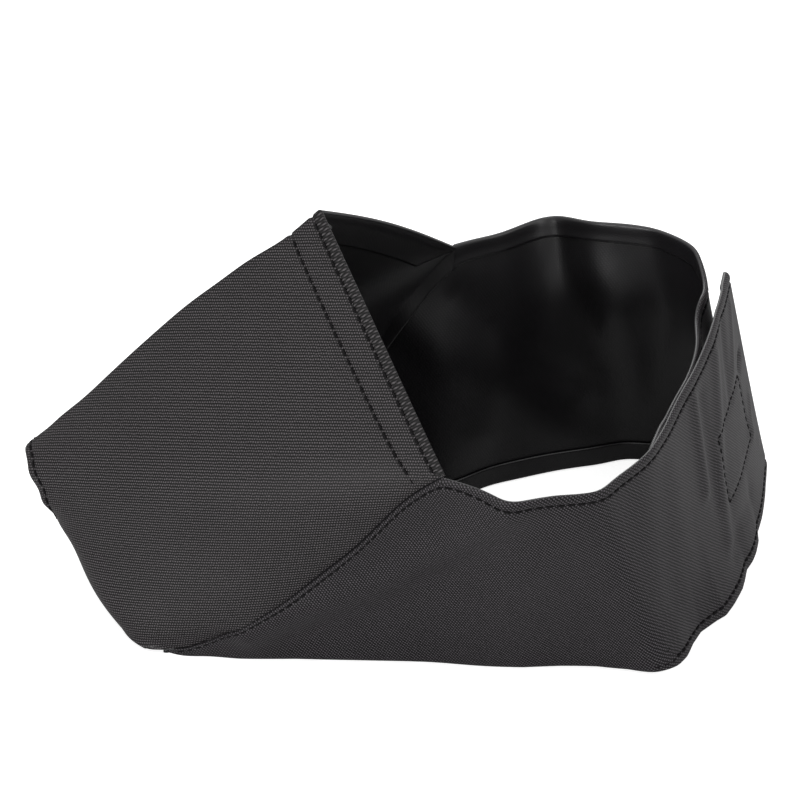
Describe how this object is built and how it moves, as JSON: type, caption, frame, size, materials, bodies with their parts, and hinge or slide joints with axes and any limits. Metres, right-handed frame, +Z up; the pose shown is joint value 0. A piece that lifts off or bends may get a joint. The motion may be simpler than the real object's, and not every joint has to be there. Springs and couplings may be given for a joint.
{
  "type": "pet grooming face cover",
  "caption": "Tapered cloth face cover with a nose hole, sewn to a wide neck band that closes at the back with hook and loop tape.",
  "frame": {"origin": "on the table under the throat panel, in the mid-plane of the face cover, below the face cover's peak and the cheek corners", "axes": "+X from the nose hole towards the neck closure, +Y towards the wearer's right, +Z up"},
  "size_m": [0.167, 0.1128, 0.095],
  "materials": {
    "oxford": "coated nylon oxford, plain weave, black",
    "hook_tape": "moulded nylon hooks, black",
    "loop_tape": "brushed nylon loops, black"
  },
  "bodies": {
    "cover": {"face_left": "oxford", "nose_hem_left": "oxford", "forehead_hem_left": "oxford", "face_right": "oxford", "nose_hem_right": "oxford", "forehead_hem_right": "oxford", "ridge_seam": "oxford", "chin_seam": "oxford", "throat_panel": "oxford", "throat_seam": "oxford", "throat_hem": "oxford", "cheek_seam_left": "oxford", "cheek_seam_right": "oxford", "cheek_left": "oxford", "cheek_top_hem_left": "oxford", "cheek_bottom_hem_left": "oxford", "cheek_right": "oxford", "cheek_top_hem_right": "oxford", "cheek_bottom_hem_right": "oxford"},
    "left_strap": {"strap_left": "oxford", "strap_top_hem_left": "oxford", "strap_bottom_hem_left": "oxford", "strap_end_hem_left": "oxford", "hook_patch": "hook_tape"},
    "right_strap": {"strap_right": "oxford", "strap_top_hem_right": "oxford", "strap_bottom_hem_right": "oxford", "strap_end_hem_right": "oxford", "loop_patch": "loop_tape"}
  },
  "joints": [
    {"name": "left_strap_fold", "type": "hinge", "parent": "cover", "child": "left_strap", "pos_m": [0.062, -0.0265, 0], "axis": [0.0872, 0.0523, -0.9948], "range_deg": [0, 100]},
    {"name": "right_strap_fold", "type": "hinge", "parent": "cover", "child": "right_strap", "pos_m": [0.045, 0.048, 0], "axis": [0, 0.1564, 0.9877], "range_deg": [0, 20]}
  ],
  "couplings": [
    {"joint": "right_strap_fold", "follows": "left_strap_fold", "ratio": 0.2}
  ]
}
